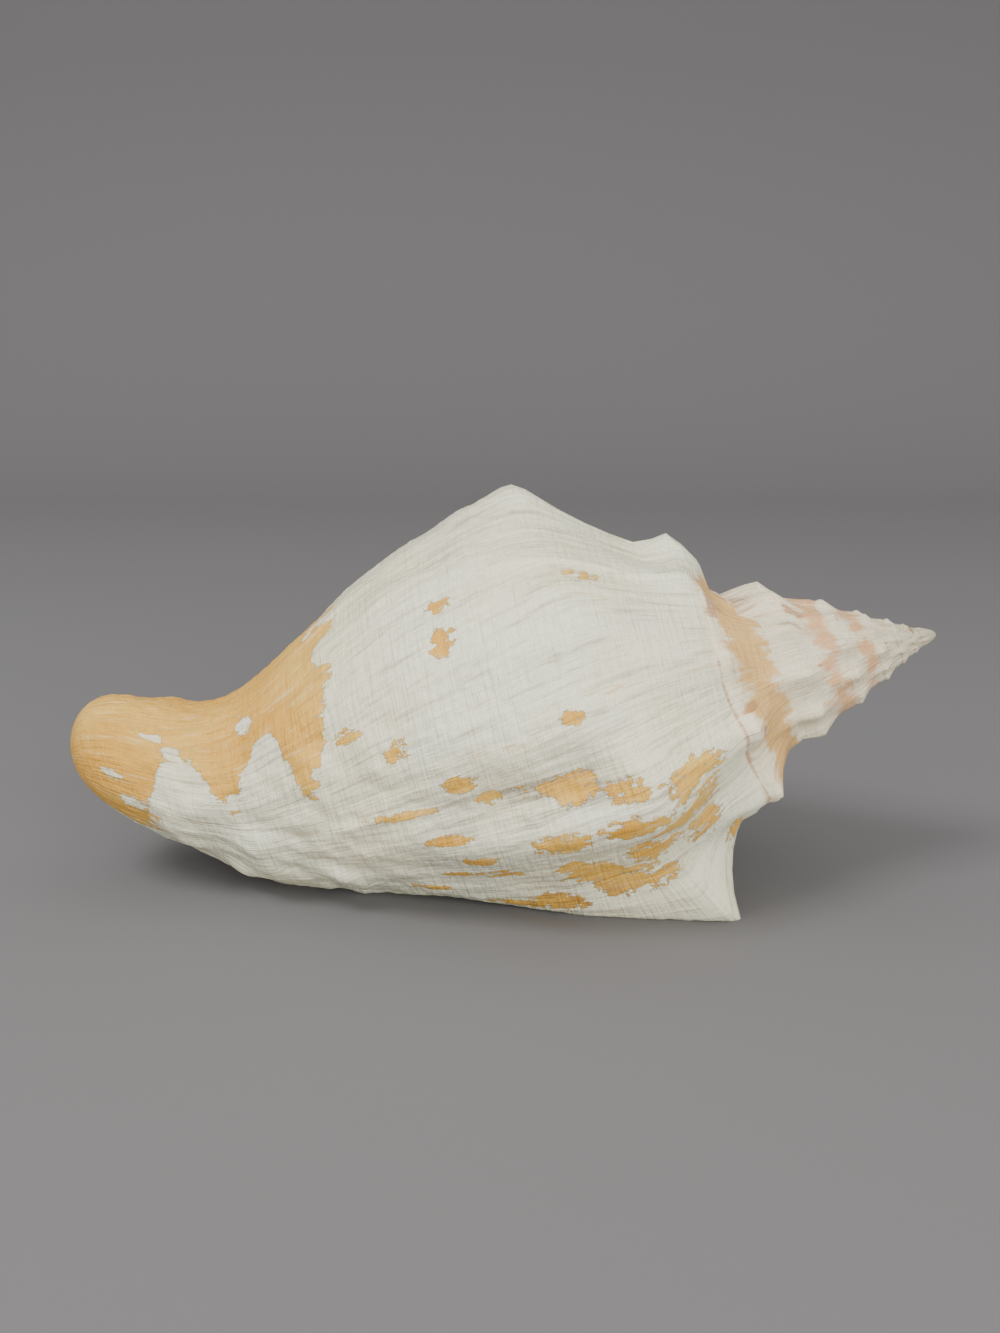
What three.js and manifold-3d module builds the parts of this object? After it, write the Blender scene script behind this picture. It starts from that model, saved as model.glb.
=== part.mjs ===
// A large, heavy conch shell, grown as one coiled piece and lying on its opening.
// Millimetres. +X runs to the tip of the spire, +Z is up, and the opening faces down.
// Growth is counted in turns: 0 is the highest knob of the last whorl, and the lip is LIP_TURN.
import * as THREE from 'three';
import { mergeVertices } from 'three/addons/utils/BufferGeometryUtils.js';
import Module from 'manifold-3d';

// Driving dimensions
const SHELL_LENGTH = 233;        // along the coiling axis, spire tip to siphonal end
const AXIS_TILT = 13.5;          // degrees that the siphonal end lies lower than the spire
const PEAK_AZIMUTH = 105;        // degrees round the axis of the highest knob, 0 facing -Y
const LIP_AZIMUTH = 213.5;        // degrees round the axis of the outer lip
const SHOULDER_RADIUS = 64;      // radius over the highest knob
const RADIUS_PER_TURN = 1.56;    // growth of the radius in one turn
const SHOULDER_DEPTH = 95;       // distance of the shoulder from the spire tip at turn 0
const DEPTH_PER_TURN = 1.48;     // growth of that distance in one turn
const LATE_DESCENT = 6.8;        // extra drop of the shoulder late in growth
const SPIRE_TIP = 1.5;           // where the blunt first whorl starts
const TURNS = 8;                 // whorls that are modelled
const SUTURE_STEP = 1.06;        // a suture's distance from the tip, over the covered shoulder's
const SUTURE_CLIMB = 2.5;        // how far the last suture climbs back up the spire at first
const SCAR_CLIMB = 7.5;          // its climb where growth started again after a rest
const LIP_CLIMB = 5;             // its further climb just before the lip
const SUTURE_DROP = 4;           // how far the suture before it lies lower than the plain one
const EDGE_BREAK = 4;            // width that then broke off its edge
const NECK_AT = 0.8;             // where the body's fall ends and the blunt end begins
const NECK_SHARE = 0.405;        // radius at the neck as a share of the radius over the knobs
const BODY_SHARE = 0.47;         // what the full body adds to that share
const END_SHARE = 0.095;         // what it loses again towards the end
const END_LIFT = 21.5;           // how far the siphonal end curls up
const END_LIFT_FROM = 185;       // where along the axis the curl starts
const END_LIFT_TO = 241;         // where it would be complete
const NECK_SAG = 2.5;            // how far the neck sags before the curl
const NECK_SAG_AT = 182;
const NECK_SAG_REACH = 45;
const SPIRE_SLIMMING = 0.07;     // how much slimmer the spire is near SLIM_TURN
const SLIM_TURN = -2.2;
const LIP_WALL = 4.5;            // thickness of the outer lip
const DEEP_WALL = 2.6;           // thickness of the wall inside the last whorl
const CALLUS = 1.0;              // glaze laid over the earlier whorl inside the opening
const CAVITY_TURNS = 0.62;       // how far the open cavity runs back from the lip
const CAVITY_OVERRUN = 0.06;     // how far the cutting tool runs out past the lip
const RESTING_FLAT = 0.85;       // depth of the worn flats that the shell rests on

// Mesh steps
const ROWS = 46;                 // rows in one turn
const RAMP_STEPS = 5;            // from a suture to the shoulder
const BAND_STEPS = 2;            // from the shoulder to the next suture
const BODY_STEPS = 22;           // from there to the siphonal end
const CAVITY_ROWS = 26;
const CAVITY_STEPS = 18;

const LIP_TURN = (LIP_AZIMUTH - PEAK_AZIMUTH) / 360;
const FIRST_BODY_TURN = LIP_TURN - 1;

// Knobs of the last turns: turn, swelling as a share of the radius, backward lean, rib length
const KNOBS = [
  [-1.41, 0.12, 0, 0.2], [-1.31, 0.05, 0, 0.2], [-1.215, 0.03, 0, 0.2], [-1.12, 0.03, 0, 0.2],
  [-1.01, 0.13, 0, 0.2], [-0.93, 0.03, 0, 0.2], [-0.84, 0.04, 1, 0.2], [-0.745, 0.10, 3, 0.2],
  [-0.655, 0.12, 6, 0.2],
  [-0.565, 0.10, 9, 0.2], [-0.467, 0.33, 11, 0.22], [-0.319, 0.07, 2, 0.3], [-0.167, 0.05, 0, 0.2],
  [0, 0.14, 0, 0.2], [0.14, 0.10, 0, 0.2], [0.31, 0.06, 0, 0.2],
];
const SPIRE_KNOBS_PER_TURN = 10.5;

const clamp = (x, low, high) => Math.min(Math.max(x, low), high);
const mix = (a, b, t) => a + (b - a) * t;
const smooth = (from, to, x) => {
  const t = clamp((x - from) / (to - from), 0, 1);
  return t * t * (3 - 2 * t);
};
const bell = (x, middle, width) => Math.exp(-(((x - middle) / width) ** 2));

// Growth of the whorls
const knobRadius = (turn) => SHOULDER_RADIUS * RADIUS_PER_TURN ** turn
  * (1 - SPIRE_SLIMMING * bell(turn, SLIM_TURN, 0.7));
const shoulderAt = (turn) => SHOULDER_DEPTH * DEPTH_PER_TURN ** turn
  + LATE_DESCENT * Math.exp(4 * turn);
const plainSuture = (turn) => SUTURE_STEP * shoulderAt(turn - 1);
const endAt = (turn) => (turn >= FIRST_BODY_TURN
  ? SHELL_LENGTH : SHELL_LENGTH * shoulderAt(turn) / shoulderAt(FIRST_BODY_TURN));

// The suture climbs the spire late in growth, and drops back where the edge was once broken
function suture(turn) {
  const climb = SUTURE_CLIMB * smooth(-0.25, -0.12, turn) + SCAR_CLIMB * smooth(-0.12, -0.03, turn)
    + LIP_CLIMB * smooth(0, 0.3, turn);
  const drop = SUTURE_DROP * smooth(-1.75, -1.5, turn) + EDGE_BREAK * smooth(-1.135, -1.10, turn);
  const mended = (SUTURE_DROP + EDGE_BREAK) * smooth(-0.95, -0.75, turn);
  return plainSuture(turn) - climb + drop - mended;
}

function knob(turn) {
  const last = KNOBS.length - 1;
  let count = (turn - KNOBS[0][0]) * SPIRE_KNOBS_PER_TURN;
  let row = KNOBS[0];
  if (turn >= KNOBS[last][0]) {
    count = last;
    row = KNOBS[last];
  } else if (turn > KNOBS[0][0]) {
    const i = KNOBS.findIndex((k) => k[0] > turn) - 1;
    const t = (turn - KNOBS[i][0]) / (KNOBS[i + 1][0] - KNOBS[i][0]);
    count = i + t;
    row = KNOBS[i].map((value, c) => mix(value, KNOBS[i + 1][c], t));
  }
  const stout = bell(turn, -1.42, 0.16);
  return {
    weight: (0.5 + 0.5 * Math.cos(2 * Math.PI * count)) ** 1.6,
    swell: row[1] + 0.10 * stout,
    lean: row[2] + 2.5 * stout,
    rib: row[3],
  };
}

// Radius below the shoulder: a full body that narrows to a neck and a blunt end
function bodyShare(x) {
  const fall = 0.5 + 0.5 * Math.cos(Math.PI * clamp(x / NECK_AT, 0, 1) ** 1.34);
  const share = NECK_SHARE + BODY_SHARE * fall - END_SHARE * smooth(0.6, 1, x);
  return share * Math.sqrt(1 - clamp((x - NECK_AT) / (1 - NECK_AT), 0, 1) ** 3.2);
}

function bodyRadius(turn, s) {
  const x = clamp((s - shoulderAt(turn)) / (endAt(turn) - shoulderAt(turn)), 0, 1);
  const k = knob(turn);
  const underside = 1 - 0.05 * bell(turn, -0.575, 0.07) * (1 - smooth(0.2, 0.4, x));
  const bulge = 1 + 0.10 * bell(turn, -0.53, 0.10) * bell(s, 168, 26);
  return knobRadius(turn) * underside * bulge
    * (bodyShare(x) + k.swell * k.weight * Math.exp(-((x / k.rib) ** 1.3)));
}

// The lower of ramp and body, with the corner between them rounded off less at a knob
function rounded(ramp, body, turn) {
  const k = knobRadius(turn) * (0.050 - 0.034 * knob(turn).weight);
  return Math.min(ramp, body) - k * Math.log1p(Math.exp(-Math.abs(ramp - body) / k));
}

// Radius of a turn that nothing later has covered: a ramp that starts gently, then its body
function whorlRadius(turn, s) {
  const from = plainSuture(turn);
  const shoulder = shoulderAt(turn);
  const t = clamp((s - from) / (shoulder - from), 0, 1.5);
  const low = bodyRadius(turn - 1, from);
  const ramp = mix(low, bodyRadius(turn, shoulder), 0.45 * t + 0.55 * t ** 2.2);
  return rounded(ramp, bodyRadius(turn, Math.max(s, shoulder)), turn);
}

// The outer surface in the half plane through the axis: s along the axis, r away from it
function outer(turn, s) {
  const from = suture(turn);
  const shoulder = shoulderAt(turn);
  const t = clamp((s - from) / (shoulder - from), 0, 1.5);
  const late = smooth(-0.75, -0.5, turn);
  const straight = 0.45 + 0.3 * late;
  const low = whorlRadius(turn - 1, from);
  let ramp = mix(low, bodyRadius(turn, shoulder), straight * t + (1 - straight) * t ** 2.3);
  // the last whorl is draped over the knobs of the one before
  const under = whorlRadius(turn - 1, s) + 0.9 * smooth(0, 0.12, t);
  ramp = mix(ramp, Math.max(ramp, under), late * (1 - smooth(0.75, 1, t)));
  const r = rounded(ramp, bodyRadius(turn, Math.max(s, shoulder)), turn);
  const k = knob(turn);
  const near = s < shoulder ? clamp(t, 0, 1) ** 2.5 : bell(s, shoulder, 14);
  return [s - k.lean * k.weight * near, r];
}

// The siphonal end sags a little and then curls up
function lift(s) {
  const off = Math.min(Math.abs(s - NECK_SAG_AT) / NECK_SAG_REACH, 1);
  const sag = 0.5 + 0.5 * Math.cos(Math.PI * off);
  return END_LIFT * smooth(END_LIFT_FROM, END_LIFT_TO, s) - NECK_SAG * sag;
}

function place(turn, s, r) {
  const azimuth = THREE.MathUtils.degToRad(PEAK_AZIMUTH) + 2 * Math.PI * turn;
  const tilt = THREE.MathUtils.degToRad(AXIS_TILT);
  const up = r * Math.sin(azimuth) + lift(s);
  return new THREE.Vector3(
    -s * Math.cos(tilt) - up * Math.sin(tilt),
    -r * Math.cos(azimuth),
    -s * Math.sin(tilt) + up * Math.cos(tilt),
  );
}

// Stations along one row of the outer surface, from its suture to the next one, then to the end
const BAND = RAMP_STEPS + BAND_STEPS;
function station(turn, column, firstTurn) {
  const from = firstTurn ? SPIRE_TIP : suture(turn);
  const settled = smooth(FIRST_BODY_TURN, FIRST_BODY_TURN + 0.15, turn);
  const next = turn < FIRST_BODY_TURN
    ? suture(turn + 1) : mix(suture(turn + 1), SUTURE_STEP * shoulderAt(turn), settled);
  const crest = Math.min(shoulderAt(turn), from + 0.82 * (next - from));
  if (column <= RAMP_STEPS) return mix(from, crest, column / RAMP_STEPS);
  if (column <= BAND) return mix(crest, next, (column - RAMP_STEPS) / BAND_STEPS);
  const t = (column - BAND) / BODY_STEPS;
  return mix(next, SHELL_LENGTH, 1 - (1 - t) ** 1.25);
}

function outerSolid() {
  const points = [];
  const faces = [];
  const lastRow = TURNS * ROWS;
  const tip = points.push(place(0, SPIRE_TIP, 0)) - 1;
  const end = points.push(place(0, SHELL_LENGTH, 0)) - 1;
  const rows = [];
  for (let i = 0; i <= lastRow; i += 1) {
    const turn = LIP_TURN + (i - lastRow) / ROWS;
    const firstTurn = i < ROWS;
    const row = [firstTurn ? tip : rows[i - ROWS][BAND]];
    const body = i >= lastRow - ROWS;
    const columns = body ? BAND + BODY_STEPS : BAND;
    for (let j = 1; j <= columns; j += 1) {
      if (body && j === columns) {
        row.push(end);
      } else if (firstTurn) {
        const s = station(turn, j, true);
        const t = clamp((s - SPIRE_TIP) / (shoulderAt(turn) - SPIRE_TIP), 0, 1);
        row.push(points.push(place(turn, s, bodyRadius(turn, s) * Math.sqrt(t))) - 1);
      } else {
        row.push(points.push(place(turn, ...outer(turn, station(turn, j, false)))) - 1);
      }
    }
    rows.push(row);
  }
  const quad = (a, b, c, d) => {
    for (const [p, q, r] of [[a, b, c], [a, c, d]]) {
      if (p !== q && q !== r && r !== p) faces.push(p, q, r);
    }
  };
  for (let i = 0; i < lastRow; i += 1) {
    const columns = Math.min(rows[i].length, rows[i + 1].length) - 1;
    for (let j = 0; j < columns; j += 1) {
      quad(rows[i][j], rows[i][j + 1], rows[i + 1][j + 1], rows[i + 1][j]);
    }
  }
  // the blunt start of the first whorl
  for (let j = 1; j < BAND; j += 1) faces.push(rows[0][j + 1], rows[0][j], tip);
  // the step at the lip, between the last row and the row one turn earlier
  const lipRow = rows[lastRow];
  const innerRow = rows[lastRow - ROWS].slice(BAND);
  const steps = lipRow.length - 1;
  const match = (j) => Math.round(j * (innerRow.length - 1) / steps);
  for (let j = 0; j < steps; j += 1) {
    quad(lipRow[j], lipRow[j + 1], innerRow[match(j + 1)], innerRow[match(j)]);
  }
  return solid(points, faces);
}

// The cavity between the last whorl and the one inside it, open at the lip and along the canal
function cavitySolid() {
  const points = [];
  const faces = [];
  const first = LIP_TURN - CAVITY_TURNS;
  const last = LIP_TURN + CAVITY_OVERRUN;
  const ring = 2 * (CAVITY_STEPS + 1);
  for (let i = 0; i <= CAVITY_ROWS; i += 1) {
    const t = i / CAVITY_ROWS;
    const turn = mix(first, last, t);
    const open = Math.sqrt(clamp(t / 0.3, 0.02, 1));
    const wall = mix(DEEP_WALL, LIP_WALL, smooth(LIP_TURN - 0.2, LIP_TURN, turn));
    const down = mix(0.62, 0.42, smooth(0.1, LIP_TURN, turn));
    const from = mix(suture(turn), shoulderAt(turn), down);
    const to = mix(SHELL_LENGTH * 0.86, SHELL_LENGTH * 1.01, smooth(-0.05, LIP_TURN - 0.02, turn));
    const inside = [];
    const outside = [];
    for (let j = 0; j <= CAVITY_STEPS; j += 1) {
      const s = mix(from, to, j / CAVITY_STEPS);
      const low = whorlRadius(turn - 1, Math.min(s, SHELL_LENGTH * 0.995)) + CALLUS;
      const canal = smooth(SHELL_LENGTH * 0.80, SHELL_LENGTH * 0.97, s) * smooth(0, LIP_TURN, turn);
      const thin = wall * (1 - canal);
      const top = Math.max(outer(turn, s)[1] - thin * 1.15, low + 0.4);
      inside.push(place(turn, s, low));
      outside.push(place(turn, s, mix(low + 0.3, top, open)));
    }
    points.push(...inside, ...outside.reverse());
  }
  for (let i = 0; i < CAVITY_ROWS; i += 1) {
    for (let j = 0; j < ring; j += 1) {
      const a = i * ring + j;
      const b = i * ring + ((j + 1) % ring);
      faces.push(a, b, b + ring, a, b + ring, a + ring);
    }
  }
  for (const [row, turned] of [[0, true], [CAVITY_ROWS, false]]) {
    for (let j = 0; j < CAVITY_STEPS; j += 1) {
      const a = row * ring + j;
      const b = row * ring + ring - 1 - j;
      const cap = [a, a + 1, b - 1, a, b - 1, b];
      faces.push(...(turned ? cap.reverse() : cap));
    }
  }
  return solid(points, faces);
}

// A closed mesh as a solid, turned outwards whichever way its faces were wound
const wasm = await Module();
wasm.setup();
function solid(points, faces) {
  let volume = 0;
  for (let i = 0; i < faces.length; i += 3) {
    const [a, b, c] = [points[faces[i]], points[faces[i + 1]], points[faces[i + 2]]];
    volume += a.dot(new THREE.Vector3().crossVectors(b, c));
  }
  const turned = volume < 0 ? [...faces].reverse() : faces;
  return new wasm.Manifold(new wasm.Mesh({
    numProp: 3,
    vertProperties: new Float32Array(points.flatMap((p) => [p.x, p.y, p.z])),
    triVerts: new Uint32Array(turned),
  }));
}

function boxSolid(size, centre) {
  const box = new THREE.BoxGeometry(...size).translate(...centre);
  box.deleteAttribute('normal');
  box.deleteAttribute('uv');
  const merged = mergeVertices(box);
  const p = merged.attributes.position;
  const points = [];
  for (let i = 0; i < p.count; i += 1) points.push(new THREE.Vector3().fromBufferAttribute(p, i));
  return solid(points, [...merged.index.array]);
}

function toGeometry(manifold) {
  const mesh = manifold.getMesh();
  const geometry = new THREE.BufferGeometry();
  geometry.setAttribute('position', new THREE.BufferAttribute(new Float32Array(mesh.vertProperties), 3));
  geometry.setIndex(new THREE.BufferAttribute(new Uint32Array(mesh.triVerts), 1));
  return geometry;
}

let grown = toGeometry(outerSolid().subtract(cavitySolid()));
grown.computeBoundingBox();
const box = grown.boundingBox;
grown.translate(-(box.min.x + box.max.x) / 2, -(box.min.y + box.max.y) / 2, -box.min.z - RESTING_FLAT);

const lowered = grown.toNonIndexed();
lowered.deleteAttribute('normal');
const weld = mergeVertices(lowered);
const weldPoints = [];
for (let i = 0; i < weld.attributes.position.count; i += 1) {
  weldPoints.push(new THREE.Vector3().fromBufferAttribute(weld.attributes.position, i));
}
const flats = boxSolid([400, 300, 20], [0, 0, -10]);
grown = toGeometry(solid(weldPoints, [...weld.index.array]).subtract(flats));
grown.computeVertexNormals();

const shellWhite = new THREE.MeshStandardMaterial({ color: 0xd9d8d0, roughness: 0.45, metalness: 0 });
const shell = new THREE.Mesh(grown, shellWhite);
shell.name = 'shell';

const conch = new THREE.Group();
conch.add(shell);

export default conch;
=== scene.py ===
import bpy
import numpy as np
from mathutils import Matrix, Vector


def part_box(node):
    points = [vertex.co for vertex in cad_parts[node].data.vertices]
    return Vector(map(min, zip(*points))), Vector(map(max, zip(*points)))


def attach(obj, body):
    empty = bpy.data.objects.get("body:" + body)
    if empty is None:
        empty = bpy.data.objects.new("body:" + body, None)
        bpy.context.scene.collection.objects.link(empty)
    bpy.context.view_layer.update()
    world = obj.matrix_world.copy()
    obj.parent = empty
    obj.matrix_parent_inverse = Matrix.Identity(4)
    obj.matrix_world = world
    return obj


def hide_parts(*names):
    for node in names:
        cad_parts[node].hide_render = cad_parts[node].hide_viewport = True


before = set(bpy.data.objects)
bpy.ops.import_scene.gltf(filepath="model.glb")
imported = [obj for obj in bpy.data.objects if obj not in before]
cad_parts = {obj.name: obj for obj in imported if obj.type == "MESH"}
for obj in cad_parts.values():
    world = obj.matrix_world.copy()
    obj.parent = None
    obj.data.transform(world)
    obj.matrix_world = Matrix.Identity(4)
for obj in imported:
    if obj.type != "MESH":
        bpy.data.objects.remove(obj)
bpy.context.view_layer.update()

# ---------------------------------------------------------------------------
# The shell. One coiled piece of lime shell, laid down at the lip a little at a time.
# It is drawn as one ribbon that winds round the axis from the spire to the lip:
# each turn of the ribbon starts on the edge of the turn before it, the suture.
# Growth is counted in turns, 0 at the highest knob; lengths here are millimetres.
SHELL_LENGTH = 233.0        # along the coiling axis, spire tip to siphonal end
AXIS_TILT = np.radians(13.5)
PEAK_DEGREES = 105.0        # round the axis to the highest knob
LIP_DEGREES = 213.5         # round the axis to the outer lip
PEAK_AZIMUTH = np.radians(PEAK_DEGREES)
LIP_TURN = (LIP_DEGREES - PEAK_DEGREES) / 360.0
FIRST_BODY_TURN = LIP_TURN - 1.0
SHOULDER_RADIUS = 64.0      # over the highest knob
RADIUS_PER_TURN = 1.56
SHOULDER_DEPTH = 95.0       # distance of the shoulder from the spire tip at turn 0
DEPTH_PER_TURN = 1.48
LATE_DESCENT = 6.8          # extra drop of the shoulder late in growth
SPIRE_TIP = 1.5             # where the blunt first whorl starts
TURNS = 8                   # whorls that are modelled
SUTURE_STEP = 1.06          # a suture's distance from the tip, over the covered shoulder's
SUTURE_CLIMB = 2.5          # how far the last suture climbs back up the spire at first
SCAR_CLIMB = 7.5            # its climb where growth started again after a rest
LIP_CLIMB = 5.0             # its further climb just before the lip
SUTURE_DROP = 4.0           # how far the suture before it lies lower than the plain one
EDGE_BREAK = 4.0            # width that then broke off its edge
NECK_AT = 0.8               # where the body's fall ends and the blunt end begins
NECK_SHARE = 0.405          # radius at the neck as a share of the radius over the knobs
BODY_SHARE = 0.47           # what the full body adds to that share
END_SHARE = 0.095           # what it loses again towards the end
END_LIFT = 21.5             # how far the siphonal end curls up, between these two places
END_LIFT_FROM, END_LIFT_TO = 185.0, 241.0
NECK_SAG = 2.5              # how far the neck sags before the curl
NECK_SAG_AT, NECK_SAG_REACH = 182.0, 45.0
SPIRE_SLIMMING = 0.07       # how much slimmer the spire is near SLIM_TURN
SLIM_TURN = -2.2
SPIRE_KNOBS_PER_TURN = 10.5
DEEP_WALL, LIP_WALL = 2.6, 4.5
CALLUS = 1.0                # glaze laid over the earlier whorl inside the opening
CAVITY_TURNS = 0.62         # how far the open cavity runs back from the lip
CAVITY_OVERRUN = 0.06       # how far the hollow's cutter runs out past the lip
SCAR_FROM, SCAR_TO = -0.1165, -0.1135    # turns over which growth starts again after a rest
RIB_HOLLOW_TURN = -0.302    # the hollow between two knobs' ribs, with shade painted into it, and the swells beside it
SWELL_ABOVE_TURN, SWELL_BELOW_TURN = -0.252, -0.350
MM = 1000.0                 # millimetres in a metre
# knobs of the last turns: turn, swelling as a share of the radius, backward lean, rib length
KNOBS = np.array([
    (-1.41, 0.12, 0.0, 0.20), (-1.31, 0.05, 0.0, 0.20), (-1.215, 0.03, 0.0, 0.20),
    (-1.12, 0.03, 0.0, 0.20), (-1.01, 0.13, 0.0, 0.20), (-0.93, 0.03, 0.0, 0.20),
    (-0.84, 0.04, 1.0, 0.20), (-0.745, 0.10, 3.0, 0.20),
    (-0.655, 0.12, 6.0, 0.20), (-0.565, 0.10, 9.0, 0.20), (-0.467, 0.33, 11.0, 0.22),
    (-0.319, 0.07, 2.0, 0.30), (-0.167, 0.05, 0.0, 0.20), (0.0, 0.14, 0.0, 0.20),
    (0.14, 0.10, 0.0, 0.20), (0.31, 0.06, 0.0, 0.20)])


def smooth(low, high, x):
    """0 below low, 1 above high, and a level-ended cubic between them."""
    t = np.clip((x - low) / (high - low), 0.0, 1.0)
    return t * t * (3.0 - 2.0 * t)


def bell(x, middle, width):
    """1 at the middle, falling off as the square of the distance over the width, in an exponent."""
    return np.exp(-((x - middle) / width) ** 2)


def shoulder_at(turn):
    """Distance of the shoulder from the spire tip: it grows by one ratio a turn, faster at the end."""
    return SHOULDER_DEPTH * DEPTH_PER_TURN ** turn + LATE_DESCENT * np.exp(4.0 * turn)


def knob_radius(turn):
    """Radius over the knobs: it grows by one ratio a turn, and the spire is a little slimmer."""
    slimmer = 1.0 - SPIRE_SLIMMING * bell(turn, SLIM_TURN, 0.7)
    return SHOULDER_RADIUS * RADIUS_PER_TURN ** turn * slimmer


def plain_suture(turn):
    """Each turn starts just in front of the shoulder of the turn before."""
    return SUTURE_STEP * shoulder_at(turn - 1.0)


def suture(turn):
    """The plain suture, less a late climb up the spire, plus one stretch where its edge broke off."""
    climb = SUTURE_CLIMB * smooth(-0.25, -0.12, turn) + SCAR_CLIMB * smooth(-0.12, -0.03, turn)
    climb = climb + LIP_CLIMB * smooth(0.0, 0.3, turn)
    broken = SUTURE_DROP * smooth(-1.75, -1.5, turn) + EDGE_BREAK * smooth(-1.135, -1.10, turn)
    broken = broken - (SUTURE_DROP + EDGE_BREAK) * smooth(-0.95, -0.75, turn)
    return plain_suture(turn) - climb + broken


def knob(turn):
    """How far up a knob this turn is, and its swelling, lean and rib, read between the knobs."""
    first = KNOBS[0, 0]
    count = np.where(turn < first, (turn - first) * SPIRE_KNOBS_PER_TURN,
                     np.interp(turn, KNOBS[:, 0], np.arange(len(KNOBS))))
    swell, lean, rib = (np.interp(turn, KNOBS[:, 0], KNOBS[:, c]) for c in (1, 2, 3))
    stout = bell(turn, -1.42, 0.16)
    weight = (0.5 + 0.5 * np.cos(2.0 * np.pi * count)) ** 1.6
    return weight, swell + 0.10 * stout, lean + 2.5 * stout, rib


def body_radius(turn, s):
    """Radius below the shoulder: a cosine fall to the neck, a blunt round end, and the knobs on top."""
    end = np.where(turn >= FIRST_BODY_TURN, SHELL_LENGTH,
                   SHELL_LENGTH * shoulder_at(turn) / shoulder_at(FIRST_BODY_TURN))
    x = np.clip((s - shoulder_at(turn)) / (end - shoulder_at(turn)), 0.0, 1.0)
    fall = 0.5 + 0.5 * np.cos(np.pi * np.clip(x / NECK_AT, 0.0, 1.0) ** 1.34)
    share = NECK_SHARE + BODY_SHARE * fall - END_SHARE * smooth(0.6, 1.0, x)
    blunt = np.clip((x - NECK_AT) / (1.0 - NECK_AT), 0.0, 1.0) ** 3.2
    share = share * np.sqrt(np.clip(1.0 - blunt, 0.0, 1.0))
    weight, swell, _, rib = knob(turn)
    underside = 1.0 - 0.05 * bell(turn, -0.575, 0.07) * (1.0 - smooth(0.2, 0.4, x))
    bulge = 1.0 + 0.10 * bell(turn, -0.53, 0.10) * bell(s, 168.0, 26.0)
    return knob_radius(turn) * underside * bulge * (
        share + swell * weight * np.exp(-(x / rib) ** 1.3))


def rounded(ramp, body, turn):
    """The lower of ramp and body, with the corner between them rounded off less at a knob."""
    weight = knob(turn)[0]
    k = knob_radius(turn) * (0.050 - 0.034 * weight)
    return np.minimum(ramp, body) - k * np.log1p(np.exp(-np.abs(ramp - body) / k))


def whorl_radius(turn, s):
    """Radius of a turn that nothing later has covered: a ramp that starts gently, then its body."""
    start, shoulder = plain_suture(turn), shoulder_at(turn)
    t = np.clip((s - start) / (shoulder - start), 0.0, 1.5)
    low = body_radius(turn - 1.0, start)
    crest = body_radius(turn, shoulder)
    ramp = low + (crest - low) * (0.45 * t + 0.55 * t ** 2.2)
    return rounded(ramp, body_radius(turn, np.maximum(s, shoulder)), turn)


def outer_profile(turn, s):
    """The outer surface as (distance along the axis, radius): ramp draped over the last turn, then body."""
    start, shoulder = suture(turn), shoulder_at(turn)
    t = np.clip((s - start) / (shoulder - start), 0.0, 1.5)
    low = whorl_radius(turn - 1.0, start)
    crest = body_radius(turn, shoulder)
    late = smooth(-0.75, -0.5, turn)
    straight = 0.45 + 0.3 * late
    ramp = low + (crest - low) * (straight * t + (1.0 - straight) * t ** 2.3)
    under = whorl_radius(turn - 1.0, s) + 0.9 * smooth(0.0, 0.12, t)
    ramp = ramp + (np.maximum(ramp, under) - ramp) * late * (1.0 - smooth(0.75, 1.0, t))
    radius = rounded(ramp, body_radius(turn, np.maximum(s, shoulder)), turn)
    weight, _, lean, _ = knob(turn)
    near = np.where(s < shoulder, np.clip(t, 0.0, 1.0) ** 2.5, bell(s, shoulder, 14.0))
    return s - lean * weight * near, radius


def place(turn, s, radius):
    """Turns, distance along the axis and radius, as a point: the axis dips towards the
    siphonal end, which sags a little and then curls up."""
    azimuth = PEAK_AZIMUTH + 2.0 * np.pi * turn
    off = (s - NECK_SAG_AT) / NECK_SAG_REACH
    sag = np.where(np.abs(off) < 1.0, 0.5 + 0.5 * np.cos(np.pi * off), 0.0)
    curl = END_LIFT * smooth(END_LIFT_FROM, END_LIFT_TO, s)
    up = radius * np.sin(azimuth) + curl - NECK_SAG * sag
    return np.stack([-s * np.cos(AXIS_TILT) - up * np.sin(AXIS_TILT),
                     -radius * np.cos(azimuth),
                     -s * np.sin(AXIS_TILT) + up * np.cos(AXIS_TILT)], axis=-1)


def waves(points, length, seed):
    """Smooth random ups and downs, about -1 to 1: 20 cosine waves of nearly one length in random
    directions, added and divided by 4."""
    draw = np.random.default_rng(seed)
    directions = draw.normal(size=(20, 3))
    directions = directions / np.linalg.norm(directions, axis=1)[:, None]
    pitch = 2.0 * np.pi / (length * draw.uniform(0.75, 1.4, 20))
    start = draw.uniform(0.0, 2.0 * np.pi, 20)
    total = 0.0
    for k in range(20):
        total = total + np.cos(points @ directions[k] * pitch[k] + start[k])
    return total / 4.0


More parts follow.
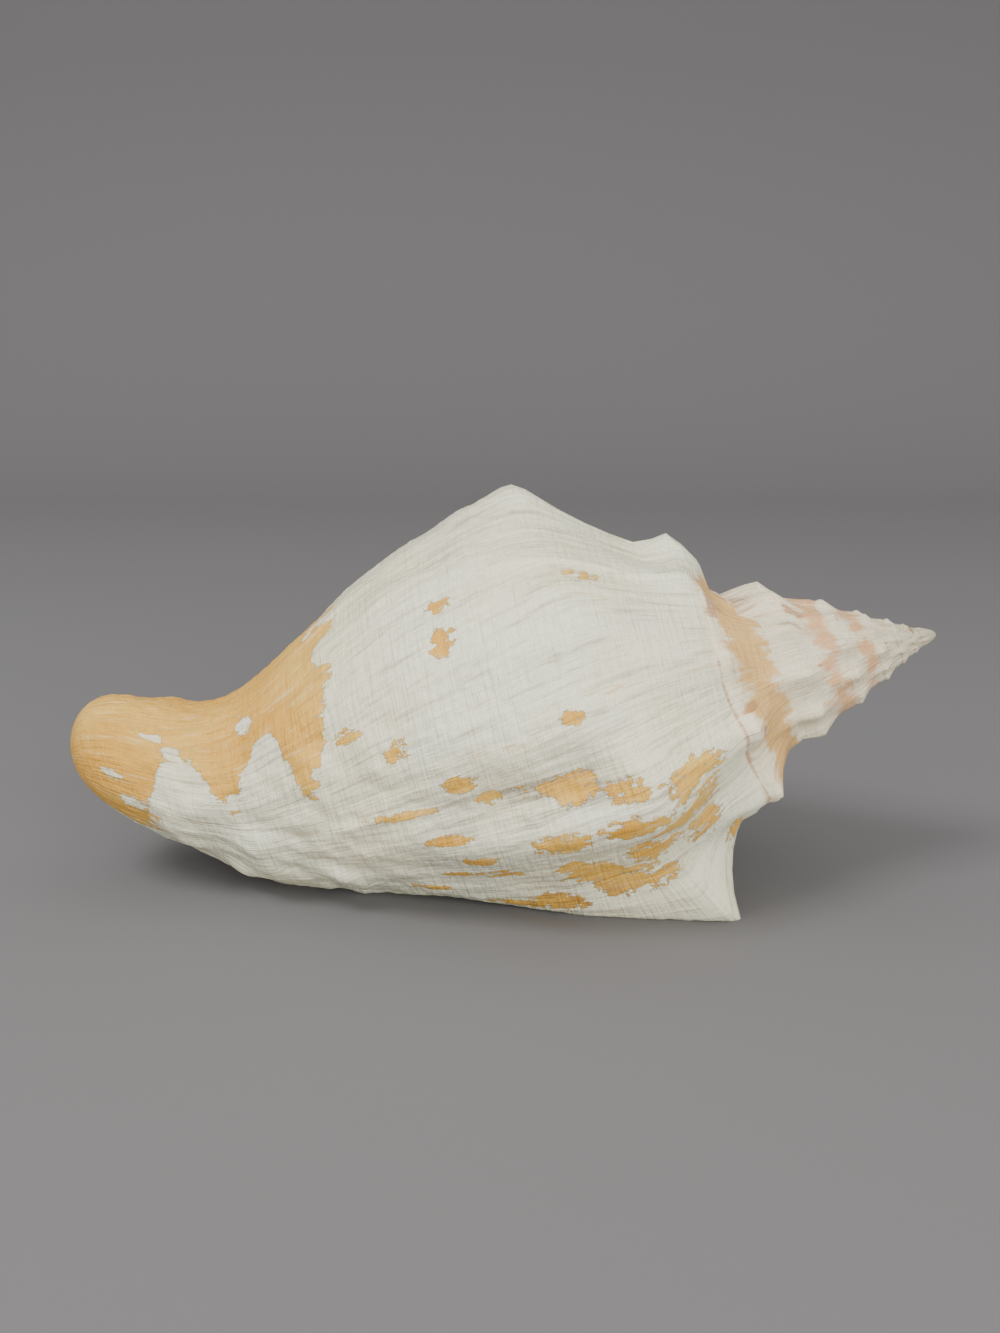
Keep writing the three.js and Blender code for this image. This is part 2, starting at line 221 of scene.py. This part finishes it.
def relief(turn, s, points):
    """What the plain form lacks, as millimetres outwards: growth ridges, the scar of a rest in
    growth, a hollow between two knobs' ribs, and the lumps of the worn base."""
    body = smooth(-0.75, -0.6, turn)
    swept = turn + 0.0006 * s + 0.004 * waves(points, 40.0, 3)
    base = smooth(135.0, 165.0, s) * (1.0 - smooth(208.0, 222.0, s)) * bell(turn, -0.36, 0.17)
    ridges = sum(np.cos(2.0 * np.pi * (count * swept + 0.3 * count)) * high
                 for count, high in ((23, 0.10), (37, 0.11), (58, 0.10), (91, 0.08)))
    ridges = ridges * (1.0 - 0.75 * base) * (0.6 + 0.5 * waves(points, 30.0, 5))
    ridges = ridges * (0.35 + 0.65 * smooth(70.0, 110.0, s))
    scar = smooth(SCAR_FROM, SCAR_TO, turn) * (1.0 - smooth(-0.08, 0.02, turn))
    scar = scar * (1.0 - smooth(105.0, 135.0, s))
    valley = bell(turn, RIB_HOLLOW_TURN, 0.027) * smooth(82.0, 100.0, s)
    valley = valley * (1.0 - smooth(120.0, 160.0, s))
    above = bell(turn, SWELL_ABOVE_TURN, 0.03) * bell(s, 108.0, 24.0)
    below = bell(turn, SWELL_BELOW_TURN, 0.018) * bell(s, 112.0, 30.0)
    lumps = waves(points, 17.0, 8) * (0.22 + 1.0 * base) + waves(points, 7.5, 9) * (0.06 + 0.36 * base)
    collar = bell(s, 206.0, 4.0) * bell(turn, 0.05, 0.10)
    collar = collar + 0.5 * bell(s, 197.0, 3.0) * bell(turn, -0.16, 0.06)
    worn = 0.9 * ridges + 1.1 * scar - 3.8 * valley + 1.0 * above + 0.9 * below + lumps + 1.6 * collar
    flakes = 0.10 * waves(points, 3.2, 12)
    t = np.clip((s - plain_suture(turn)) / (shoulder_at(turn) - plain_suture(turn)), 0.0, 1.0)
    full = 2.4 * np.sin(np.pi * t) * smooth(-0.42, -0.34, turn) * (1.0 - smooth(-0.2, -0.1, turn))
    past = s - suture(turn)
    lap = smooth(0.0, 1.0, past) * (1.0 - smooth(1.5, 12.0, past)) * (0.35 + 0.65 * body)
    return 0.9 * lap + body * (worn + full + flakes) + (1.0 - body) * 0.10 * waves(points, 5.0, 14)


ROWS = 360
RAMP_STEPS, BAND_STEPS, BODY_STEPS = 9, 3, 134
BAND = RAMP_STEPS + BAND_STEPS
LAST = TURNS * ROWS


def stations(turn, columns, first_turn):
    """Distances along the axis of a row's points: suture to shoulder, to the next suture, to the end."""
    start = SPIRE_TIP if first_turn else suture(turn)
    settled = smooth(FIRST_BODY_TURN, FIRST_BODY_TURN + 0.15, turn)
    beyond = suture(turn + 1.0)
    beyond = np.where(turn < FIRST_BODY_TURN, beyond,
                      beyond + (SUTURE_STEP * shoulder_at(turn) - beyond) * settled)
    crest = np.minimum(shoulder_at(turn), start + 0.82 * (beyond - start))
    ramp = start + (crest - start) * np.clip(columns / RAMP_STEPS, 0.0, 1.0) ** 1.6
    band = (beyond - crest) * np.clip((columns - RAMP_STEPS) / BAND_STEPS, 0.0, 1.0)
    t = np.clip((columns - BAND) / BODY_STEPS, 0.0, 1.0)
    return ramp + band + (SHELL_LENGTH - beyond) * (1.0 - (1.0 - t) ** 1.25)


def spiral_surface():
    """The outer surface as points, growth values and faces. Row i is one place in growth, column j a
    place across the ribbon. Column 0 of a row is column BAND of the row one turn before it."""
    rows = np.arange(LAST + 1)
    turn = LIP_TURN + (rows - LAST) / ROWS
    columns = np.arange(BAND + BODY_STEPS + 1)
    turn_grid, column_grid = np.meshgrid(turn, columns, indexing="ij")
    first = (rows < ROWS)[:, None]
    s = np.where(first, stations(turn_grid, column_grid, True), stations(turn_grid, column_grid, False))
    flat_s, radius = outer_profile(turn_grid, s)
    t = np.clip((s - SPIRE_TIP) / (shoulder_at(turn_grid) - SPIRE_TIP), 0.0, 1.0)
    radius = np.where(first, body_radius(turn_grid, s) * np.sqrt(t), radius)
    flat_s = np.where(first, s, flat_s)
    points = place(turn_grid, flat_s, radius)
    fade = np.clip((SHELL_LENGTH - s) / 12.0, 0.0, 1.0) * np.clip((s - SPIRE_TIP) / 12.0, 0.0, 1.0)
    points = place(turn_grid, flat_s, radius + fade * relief(turn_grid, s, points))
    # number the points: the tip, the end, then every point that is its own
    own = np.ones(points.shape[:2], bool)
    own[:, 0] = False
    own[:LAST - ROWS, BAND + 1:] = False
    own[:, -1] = False
    number = np.zeros(own.shape, int)
    number[own] = 2 + np.arange(own.sum())
    number[:, -1] = 1
    number[ROWS:, 0] = number[:-ROWS, BAND]
    coords = np.concatenate([place(0.0, SPIRE_TIP, 0.0)[None], place(0.0, SHELL_LENGTH, 0.0)[None],
                             points[own]])
    growth = np.concatenate([[[turn[0], SPIRE_TIP], [turn[-1], SHELL_LENGTH]],
                             np.stack([turn_grid, s], -1)[own]])

    def quads(a):
        return np.stack([a[:-1, :-1], a[:-1, 1:], a[1:, 1:], a[1:, :-1]], -1).reshape(-1, 4)

    early = quads(number[:LAST - ROWS + 1, :BAND + 1])
    late = quads(number[LAST - ROWS:])
    start = number[0, 1:BAND + 1]
    fan = np.stack([start[1:], start[:-1], 0 * start[1:], 0 * start[1:]], -1)
    lip, inner = number[LAST], number[LAST - ROWS, BAND:]
    match = np.round(np.arange(len(lip)) * (len(inner) - 1) / (len(lip) - 1)).astype(int)
    step = np.stack([lip[:-1], lip[1:], inner[match[1:]], inner[match[:-1]]], -1)
    faces = np.concatenate([early, late, fan, step])
    tris = np.concatenate([faces[:, [0, 1, 2]], faces[:, [0, 2, 3]]])
    sound = (tris[:, 0] != tris[:, 1]) & (tris[:, 1] != tris[:, 2]) & (tris[:, 2] != tris[:, 0])
    return coords, growth, tris[sound]


CAVITY_ROWS, CAVITY_STEPS = 96, 56


def cavity_surface():
    """The hollow between the last whorl and the one inside it, as a closed tube of ring after ring:
    inwards it follows the earlier whorl, outwards the last one less the wall's thickness."""
    t, j = np.meshgrid(np.linspace(0.0, 1.0, CAVITY_ROWS + 1),
                       np.linspace(0.0, 1.0, CAVITY_STEPS + 1), indexing="ij")
    turn = LIP_TURN - CAVITY_TURNS + (CAVITY_TURNS + CAVITY_OVERRUN) * t
    opened = np.sqrt(np.clip(t / 0.3, 0.02, 1.0))
    wall = DEEP_WALL + (LIP_WALL - DEEP_WALL) * smooth(LIP_TURN - 0.2, LIP_TURN, turn)
    up_the_ramp = 0.62 - 0.20 * smooth(0.1, LIP_TURN, turn)
    start = suture(turn) + up_the_ramp * (shoulder_at(turn) - suture(turn))
    stop = SHELL_LENGTH * (0.86 + 0.15 * smooth(-0.05, LIP_TURN - 0.02, turn))
    s = start + (stop - start) * j
    low = whorl_radius(turn - 1.0, np.minimum(s, SHELL_LENGTH * 0.995)) + CALLUS
    canal = smooth(SHELL_LENGTH * 0.80, SHELL_LENGTH * 0.97, s) * smooth(0.0, LIP_TURN, turn)
    thin = wall * (1.0 - canal)
    top = np.maximum(outer_profile(turn, s)[1] - 1.15 * thin, low + 0.4)
    inside = place(turn, s, low)
    outside = place(turn, s, low + 0.3 + (top - low - 0.3) * opened)
    ring = np.concatenate([inside, outside[:, ::-1]], axis=1)
    number = np.arange(ring.shape[0] * ring.shape[1]).reshape(ring.shape[:2])
    wrap = np.concatenate([number, number[:, :1]], axis=1)
    sides = np.stack([wrap[:-1, :-1], wrap[:-1, 1:], wrap[1:, 1:], wrap[1:, :-1]], -1).reshape(-1, 4)
    caps = []
    for row, turned in ((number[0], True), (number[-1], False)):
        a = row[:CAVITY_STEPS + 1]
        b = row[:CAVITY_STEPS:-1]
        cap = np.stack([a[:-1], a[1:], b[1:], b[:-1]], -1)
        caps.append(cap[:, ::-1] if turned else cap)
    faces = np.concatenate([sides] + caps)
    return ring.reshape(-1, 3), np.concatenate([faces[:, [0, 1, 2]], faces[:, [0, 2, 3]]])


def outward(coords, tris):
    """The triangles turned so that the volume they close is positive."""
    a, b, c = (coords[tris[:, k]] for k in range(3))
    volume = np.einsum("ij,ij->i", a, np.cross(b, c)).sum()
    return tris if volume > 0 else tris[:, ::-1]


def new_mesh(name, coords, tris):
    """A mesh object at the origin from points in metres and triangles."""
    mesh = bpy.data.meshes.new(name)
    mesh.from_pydata(coords.tolist(), [], tris.tolist())
    mesh.update()
    obj = bpy.data.objects.new(name, mesh)
    bpy.context.scene.collection.objects.link(obj)
    return obj


coords, growth, tris = spiral_surface()
hollow_coords, hollow_tris = cavity_surface()
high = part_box("shell")[1]
own_low, own_high = coords.min(0), coords.max(0)
shift = np.array([-(own_low[0] + own_high[0]) / 2.0, -(own_low[1] + own_high[1]) / 2.0,
                  high[2] * MM - own_high[2]])
coords = coords + shift
# the places that it rests on are worn flat
coords[:, 2] = np.maximum(coords[:, 2], 0.0)

# Tan outer skin is left in patches: a saddle over the neck, the tip of the siphonal end, and
# flakes elsewhere. The low flakes lie in even rows along the growth of the shell, larger
# towards the spine, and the others are scattered. Lengths are in millimetres.
turn, s = growth[:, 0], growth[:, 1]
SADDLE_FROM = 160.0       # distance along the axis where the saddle begins
SADDLE_DEPTH = 0.20       # how far down the front it hangs, in turns
TONGUE_DEPTH = 0.05       # how far its tongues swing about that, in turns
TONGUE_LENGTH = 24.0
TIP_FROM = 206.0          # past here its edge runs down under the tip
FLAKE_ROWS = 4
FIRST_ROW = -0.30
ROW_STEP = -0.045
FLAKES_IN_ROW = 6
ROW_FROM, ROW_TO = 72.0, 140.0
ROW_JITTER = 0.018        # turns
PLACE_JITTER = 8.0
SCATTERED_FRONT = 7
SCATTERED_BACK = 9
BARE_SPOTS = 6
PATCH_RADIUS = 45.0       # the radius at which a patch's width is measured
draw = np.random.default_rng(7)


def patch(middle_turn, middle_s, half_s, half_round):
    """1 in the middle of an oval patch, falling off as the square of the distance, in an exponent."""
    around = (turn - middle_turn) * 2.0 * np.pi * PATCH_RADIUS
    return np.exp(-((s - middle_s) / half_s) ** 2 - (around / half_round) ** 2)


def low_flakes():
    """Flakes in rows: turn, distance along the axis, half length, half width, how much is left."""
    flakes = []
    for row in range(FLAKE_ROWS):
        places = np.linspace(ROW_FROM, ROW_TO, FLAKES_IN_ROW)
        places = places + draw.uniform(-PLACE_JITTER, PLACE_JITTER, FLAKES_IN_ROW)
        for place_s in places:
            near_spine = 1.0 - (place_s - ROW_FROM) / (ROW_TO - ROW_FROM)
            flakes.append((FIRST_ROW + row * ROW_STEP + draw.uniform(-ROW_JITTER, ROW_JITTER), place_s,
                           draw.uniform(5.0, 10.0), 1.8 + 5.0 * near_spine * draw.uniform(0.4, 1.0),
                           draw.uniform(0.75, 1.05)))
    return flakes


def scattered(count, turns, lengths, half_s, half_round):
    """Patches at random places within a range of turns and of distances along the axis."""
    return [(draw.uniform(*turns), draw.uniform(*lengths), draw.uniform(*half_s),
             draw.uniform(*half_round), draw.uniform(0.8, 1.0)) for _ in range(count)]


torn_edge = waves(coords, 13.0, 21) + 0.6 * waves(coords, 5.5, 22)
tongues = TONGUE_DEPTH * np.sin(2.0 * np.pi * (s - SADDLE_FROM) / TONGUE_LENGTH)
edge = -SADDLE_DEPTH - tongues - 0.014 * np.maximum(s - TIP_FROM, 0.0) + 0.010 * torn_edge
saddle = smooth(-0.030, 0.030, turn - edge) * smooth(152.0, 167.0, s + 3.2 * torn_edge)
saddle = saddle * (1.0 - smooth(0.02, 0.10, turn))
tip = smooth(206.0, 216.0, s) * smooth(-0.50, -0.30, turn)
coat = np.maximum(saddle, 0.9 * tip) * 1.25
flakes = low_flakes()
flakes = flakes + scattered(SCATTERED_FRONT, (-0.28, -0.12), (85.0, 155.0), (2.0, 6.0), (1.5, 4.0))
flakes = flakes + scattered(SCATTERED_BACK, (0.05, 0.40), (90.0, 170.0), (6.0, 15.0), (3.0, 10.0))
for flake in flakes:
    coat = np.maximum(coat, flake[4] * patch(*flake[:4]))
for bare in scattered(BARE_SPOTS, (-0.32, -0.10), (172.0, 226.0), (2.0, 4.0), (3.0, 6.0)):
    coat = coat * (1.0 - patch(*bare[:4]))
coat = coat * smooth(-0.75, -0.68, turn)
low_row = FIRST_ROW + (FLAKE_ROWS - 1) * ROW_STEP
stain = bell(turn, low_row, 0.015) * bell(s, 0.5 * (ROW_FROM + ROW_TO), 25.0)
stain = np.maximum(stain, 0.8 * bell(turn, low_row, 0.05) * bell(s, ROW_FROM, 9.0))

# The spire keeps its colours: a golden band on the ramp of each whorl, orange on the
# earlier ones, a few brown streaks, and a bleached tip.
across = np.clip((s - suture(turn)) / (plain_suture(turn + 1.0) - suture(turn)), 0.0, 1.3)
mottled = across + 0.07 * waves(coords, 6.0, 31) + 0.05 * waves(coords, 2.6, 32)
spire = 1.0 - smooth(-0.72, -0.69, turn)
golden = spire * bell(mottled, 0.38, 0.29) * smooth(-1.62, -1.45, turn)
exposed = smooth(-1.13, -1.115, turn) * bell(turn, -1.05, 0.12) * (1.0 - smooth(0.0, 0.05, across))
orange = spire * bell(mottled, 0.29, 0.28) * (0.85 + 0.35 * waves(coords, 4.0, 33))
orange = orange * (1.0 - smooth(-1.7, -1.5, turn)) * smooth(-4.6, -3.4, turn)
streaks = 0.9 * spire * smooth(0.5, 1.1, waves(coords, 6.0, 34)) * bell(across, 0.65, 0.25)
below_edge = bell(s, suture(turn + 1.0) - 1.5, 3.2) * bell(turn, -2.06, 0.075)
seam = bell(across, 1.0, 0.05) * spire * smooth(-4.5, -3.0, turn)
streaks = streaks + below_edge + (0.3 + 0.4 * smooth(-1.6, -1.4, turn)) * seam
# painted shade: grey-brown darkening in the hollow between the two ribs where shade falls, more faintly over
# the lower swell beside it, and a faint grey-brown tint over the front of the body
hollow_shade_and_tint = bell(turn, RIB_HOLLOW_TURN, 0.022) * smooth(84.0, 100.0, s) * (1.0 - smooth(125.0, 160.0, s))
hollow_shade_and_tint = np.maximum(hollow_shade_and_tint, 0.45 * bell(turn, -0.345, 0.06) * bell(s, 125.0, 40.0))
hollow_shade_and_tint = np.maximum(hollow_shade_and_tint, 0.12 * smooth(-0.5, -0.3, -np.abs(turn + 0.05)))
growth_direction = 2.0 * np.pi * turn + 0.0035 * s
rings = np.stack([50.0 * np.cos(growth_direction), 50.0 * np.sin(growth_direction), s], -1)


def add_values(mesh, name, kind, values):
    """One value for each point of the mesh."""
    slot = mesh.attributes.new(name, kind, "POINT")
    slot.data.foreach_set("value" if kind == "FLOAT" else "vector", np.asarray(values, float).ravel())


shell = new_mesh("conch_shell", coords / MM, outward(coords, tris))
hollow = new_mesh("hollow", (hollow_coords + shift) / MM, outward(hollow_coords, hollow_tris))
for name, values in (("coat", coat), ("stain", stain), ("golden", golden + 0.9 * exposed),
                     ("orange", orange), ("streaks", streaks), ("hollow_shade_and_tint", hollow_shade_and_tint), ("inside", 0.0 * turn),
                     ("spire", spire)):
    add_values(shell.data, name, "FLOAT", values)
    add_values(hollow.data, name, "FLOAT", np.full(len(hollow_coords), 1.0 if name == "inside" else 0.0))
add_values(shell.data, "rings", "FLOAT_VECTOR", rings)
add_values(hollow.data, "rings", "FLOAT_VECTOR", hollow_coords)
cut = shell.modifiers.new("cavity", "BOOLEAN")
cut.operation = "DIFFERENCE"
cut.solver = "MANIFOLD"
cut.object = hollow
graph = bpy.context.evaluated_depsgraph_get()
cut_mesh = bpy.data.meshes.new_from_object(shell.evaluated_get(graph))
shell.modifiers.clear()
shell.data = cut_mesh
bpy.data.objects.remove(hollow)
cut_mesh.shade_smooth()
cut_mesh.set_sharp_from_angle(angle=np.radians(50.0))

# colours of the lime, the painted shade in its hollow, the spire, the outer skin and the inner glaze
LIME_COOL = (0.84, 0.84, 0.63)
LIME_CREAM = (0.86, 0.81, 0.57)
LIME_GREY = (0.60, 0.55, 0.41)
LIME_TAN = (0.74, 0.62, 0.40)
# grey-brown of the painted shade in the hollow and of the faint tint on the front
HOLLOW_SHADE_AND_TINT = (0.42, 0.37, 0.27)
SPIRE_CREAM = (0.88, 0.72, 0.50)
SPIRE_GOLD = (0.74, 0.44, 0.14)
SPIRE_ORANGE = (0.76, 0.40, 0.17)
SPIRE_BROWN = (0.42, 0.19, 0.07)
SKIN_TAN = (0.72, 0.37, 0.045)
SKIN_LIGHT = (0.80, 0.48, 0.09)
SKIN_DARK = (0.54, 0.24, 0.025)
SKIN_WORN = (0.88, 0.70, 0.36)
SKIN_STAIN = (0.40, 0.20, 0.05)
GLAZE_PINK = (0.72, 0.42, 0.30)
GLAZE_PALE = (0.76, 0.56, 0.44)

lime = bpy.data.materials.new("shell_lime")
lime.use_nodes = True
nodes, links = lime.node_tree.nodes, lime.node_tree.links
shader = nodes["Principled BSDF"]


def value_of(name, vector=False):
    """A point value of the mesh, by its name."""
    node = nodes.new("ShaderNodeAttribute")
    node.attribute_name = name
    return node.outputs["Vector" if vector else "Fac"]


def sum_of(operation, *terms):
    """One step of arithmetic on outputs or plain numbers."""
    node = nodes.new("ShaderNodeMath")
    node.operation = operation
    for k, term in enumerate(terms):
        if isinstance(term, (int, float)):
            node.inputs[k].default_value = term
        else:
            links.new(term, node.inputs[k])
    return node.outputs[0]


def grain(vector, stretch, scale, detail=4.0, rough=0.6):
    """Random grain read along a vector that is first stretched along each of its axes."""
    stretched = nodes.new("ShaderNodeVectorMath")
    stretched.operation = "MULTIPLY"
    links.new(vector, stretched.inputs[0])
    stretched.inputs[1].default_value = stretch
    noise = nodes.new("ShaderNodeTexNoise")
    noise.inputs["Scale"].default_value = scale
    noise.inputs["Detail"].default_value = detail
    noise.inputs["Roughness"].default_value = rough
    links.new(stretched.outputs[0], noise.inputs["Vector"])
    return noise.outputs["Fac"]


def step_between(value, low, high):
    """0 below low, 1 above high."""
    node = nodes.new("ShaderNodeMapRange")
    node.interpolation_type = "SMOOTHSTEP"
    node.inputs["From Min"].default_value = low
    node.inputs["From Max"].default_value = high
    links.new(value, node.inputs["Value"])
    return node.outputs["Result"]


def blend_of(share, first, second):
    """The first colour where the share is 0, the second where it is 1."""
    node = nodes.new("ShaderNodeMix")
    node.data_type = "RGBA"
    links.new(share, node.inputs["Factor"])
    for socket, colour in ((node.inputs["A"], first), (node.inputs["B"], second)):
        if isinstance(colour, tuple):
            socket.default_value = colour + (1.0,)
        else:
            links.new(colour, socket)
    return node.outputs["Result"]


rings_vector = value_of("rings", vector=True)
here = nodes.new("ShaderNodeTexCoord").outputs["Object"]
growth_lines = grain(rings_vector, (1.0, 1.0, 0.10), 0.55, 5.0, 0.65)
threads = grain(rings_vector, (0.06, 0.06, 1.0), 0.9, 3.0, 0.6)
streaky = grain(rings_vector, (1.0, 1.0, 0.28), 0.30, 6.0, 0.68)
cloud = grain(here, (1.0, 1.0, 1.0), 38.0, 3.0, 0.5)
crumbs = grain(here, (1.0, 1.0, 1.0), 420.0, 5.0, 0.7)

# bare lime: cool white to warm cream, greyer along the growth lines
bare_lime = blend_of(step_between(cloud, 0.38, 0.66), LIME_COOL, LIME_CREAM)
bare_lime = blend_of(step_between(growth_lines, 0.52, 0.70), bare_lime, LIME_GREY)
bare_lime = blend_of(step_between(streaky, 0.62, 0.78), bare_lime, LIME_TAN)
# the painted shade is laid into the bare lime along the growth lines
hollow_shade_and_tint_share = sum_of("MULTIPLY", value_of("hollow_shade_and_tint"), step_between(growth_lines, 0.36, 0.62))
bare_lime = blend_of(hollow_shade_and_tint_share, bare_lime, HOLLOW_SHADE_AND_TINT)

# spire colours, broken up by the same grain
broken = sum_of("MULTIPLY_ADD", streaky, 1.6, -0.8)
golden_share = sum_of("ADD", value_of("golden"), broken)
orange_share = sum_of("ADD", value_of("orange"), broken)
streak_share = sum_of("ADD", value_of("streaks"), broken)
warm = blend_of(sum_of("MULTIPLY", value_of("spire"), 0.55), bare_lime, SPIRE_CREAM)
golden_tone = sum_of("MULTIPLY", step_between(golden_share, 0.10, 0.60), 0.95)
colour = blend_of(golden_tone, warm, SPIRE_GOLD)
orange_tone = sum_of("MULTIPLY", step_between(orange_share, 0.15, 0.85), 0.85)
colour = blend_of(orange_tone, colour, SPIRE_ORANGE)
brown_tone = sum_of("MULTIPLY", step_between(streak_share, 0.35, 0.80), 0.70)
colour = blend_of(brown_tone, colour, SPIRE_BROWN)

# tan outer skin: its edge is where what is left of it, plus grain, passes a half
torn = sum_of("ADD", sum_of("MULTIPLY_ADD", streaky, 2.3, -1.15), sum_of("MULTIPLY_ADD", crumbs, 1.7, -0.85))
torn = sum_of("MULTIPLY", torn, sum_of("MINIMUM", sum_of("MULTIPLY", value_of("coat"), 2.5), 1.0))
left = sum_of("ADD", value_of("coat"), torn)
skin_share = step_between(left, 0.46, 0.54)
skin = blend_of(step_between(cloud, 0.36, 0.68), SKIN_TAN, SKIN_LIGHT)
skin = blend_of(sum_of("MULTIPLY", step_between(growth_lines, 0.50, 0.72), 0.6), skin, SKIN_DARK)
skin = blend_of(sum_of("MULTIPLY", step_between(streaky, 0.52, 0.70), 0.5), skin, SKIN_WORN)
skin = blend_of(sum_of("MULTIPLY", value_of("stain"), step_between(streaky, 0.40, 0.62)), skin,
                SKIN_STAIN)
colour = blend_of(skin_share, colour, skin)
inner = blend_of(step_between(cloud, 0.35, 0.7), GLAZE_PINK, GLAZE_PALE)
colour = blend_of(value_of("inside"), colour, inner)
links.new(colour, shader.inputs["Base Color"])

gloss = sum_of("MULTIPLY_ADD", streaky, 0.50, 0.02)
gloss = sum_of("MULTIPLY_ADD", skin_share, 0.18, gloss)
links.new(gloss, shader.inputs["Roughness"])

height = sum_of("MULTIPLY_ADD", growth_lines, 0.8, sum_of("MULTIPLY", threads, 0.7))
height = sum_of("MULTIPLY_ADD", skin_share, 0.25, height)
height = sum_of("MULTIPLY_ADD", crumbs, 0.12, height)
height = sum_of("MULTIPLY", height, sum_of("SUBTRACT", 1.0, value_of("inside")))
bump = nodes.new("ShaderNodeBump")
bump.inputs["Strength"].default_value = 1.0
bump.inputs["Distance"].default_value = 0.0011
links.new(height, bump.inputs["Height"])
links.new(bump.outputs["Normal"], shader.inputs["Normal"])

shell.data.materials.clear()
shell.data.materials.append(lime)
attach(shell, "root")
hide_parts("shell")

# ---------------------------------------------------------------------------
# The studio: grey cloth that runs back and curves up behind, a soft lamp high on the left,
# a broader one low in front, and even light from all round. Lengths here are metres.
CLOTH_WIDTH, CLOTH_LENGTH, CLOTH_FRONT = 3.0, 3.6, 1.2
BEND_FROM, BEND_RADIUS = 0.7, 0.4
CAMERA_LENS, CAMERA_SENSOR = 38.59265, 36.0     # millimetres
CAMERA_HEIGHT, CAMERA_DISTANCE = 0.060, 0.380   # height of the aim, and distance from it
CAMERA_ELEVATION = np.radians(15.0)


def cloth(u, v):
    """Flat from the front, then a quarter circle from BEND_FROM behind, then straight up."""
    across = CLOTH_WIDTH * (u - 0.5)
    along = -CLOTH_FRONT + CLOTH_LENGTH * v
    bend = np.clip((along - BEND_FROM) / BEND_RADIUS, 0.0, np.pi / 2.0)
    y = np.minimum(along, BEND_FROM) + BEND_RADIUS * np.sin(bend)
    bent_length = 0.5 * np.pi * BEND_RADIUS
    z = BEND_RADIUS * (1.0 - np.cos(bend)) + np.maximum(along - BEND_FROM - bent_length, 0.0)
    return np.stack([across, y, z], -1)


u, v = np.meshgrid(np.linspace(0.0, 1.0, 3), np.linspace(0.0, 1.0, 145), indexing="ij")
cloth_points = cloth(u, v)
number = np.arange(u.size).reshape(u.shape)
cloth_quads = np.stack([number[:-1, :-1], number[1:, :-1], number[1:, 1:], number[:-1, 1:]], -1)
floor = new_mesh("cloth", cloth_points.reshape(-1, 3), cloth_quads.reshape(-1, 4))
floor.data.shade_smooth()
floor_material = bpy.data.materials.new("grey_cloth")
floor_material.use_nodes = True
floor_shader = floor_material.node_tree.nodes["Principled BSDF"]
floor_shader.inputs["Base Color"].default_value = (0.146, 0.142, 0.144, 1.0)
floor_shader.inputs["Roughness"].default_value = 0.95
floor.data.materials.append(floor_material)

world = bpy.data.worlds.new("studio")
world.use_nodes = True
world.node_tree.nodes["Background"].inputs["Color"].default_value = (1.0, 0.99, 0.97, 1.0)
world.node_tree.nodes["Background"].inputs["Strength"].default_value = 1.08
bpy.context.scene.world = world


def soft_light(name, place_at, aim, size, power):
    """A square area lamp that faces its aim."""
    data = bpy.data.lights.new(name, "AREA")
    data.size = size
    data.energy = power
    lamp = bpy.data.objects.new(name, data)
    lamp.location = place_at
    lamp.rotation_euler = (Vector(aim) - Vector(place_at)).to_track_quat("-Z", "Y").to_euler()
    bpy.context.scene.collection.objects.link(lamp)


soft_light("key", (-0.55, -0.45, 1.0), (0.0, 0.0, 0.04), 0.4, 9.0)
soft_light("front", (0.35, -1.0, 0.30), (0.0, 0.0, 0.05), 0.8, 11.0)

# the camera stands in front and a little above, level with the shell's axis
camera_data = bpy.data.cameras.new("camera")
camera_data.sensor_width = CAMERA_SENSOR
camera_data.lens = CAMERA_LENS
camera = bpy.data.objects.new("camera", camera_data)
aim = Vector((0.0, shift[1] / MM, CAMERA_HEIGHT))
back = Vector((0.0, -np.cos(CAMERA_ELEVATION), np.sin(CAMERA_ELEVATION)))
camera.location = aim + back * CAMERA_DISTANCE
camera.rotation_euler = (aim - camera.location).to_track_quat("-Z", "Y").to_euler()
bpy.context.scene.collection.objects.link(camera)
bpy.context.scene.camera = camera
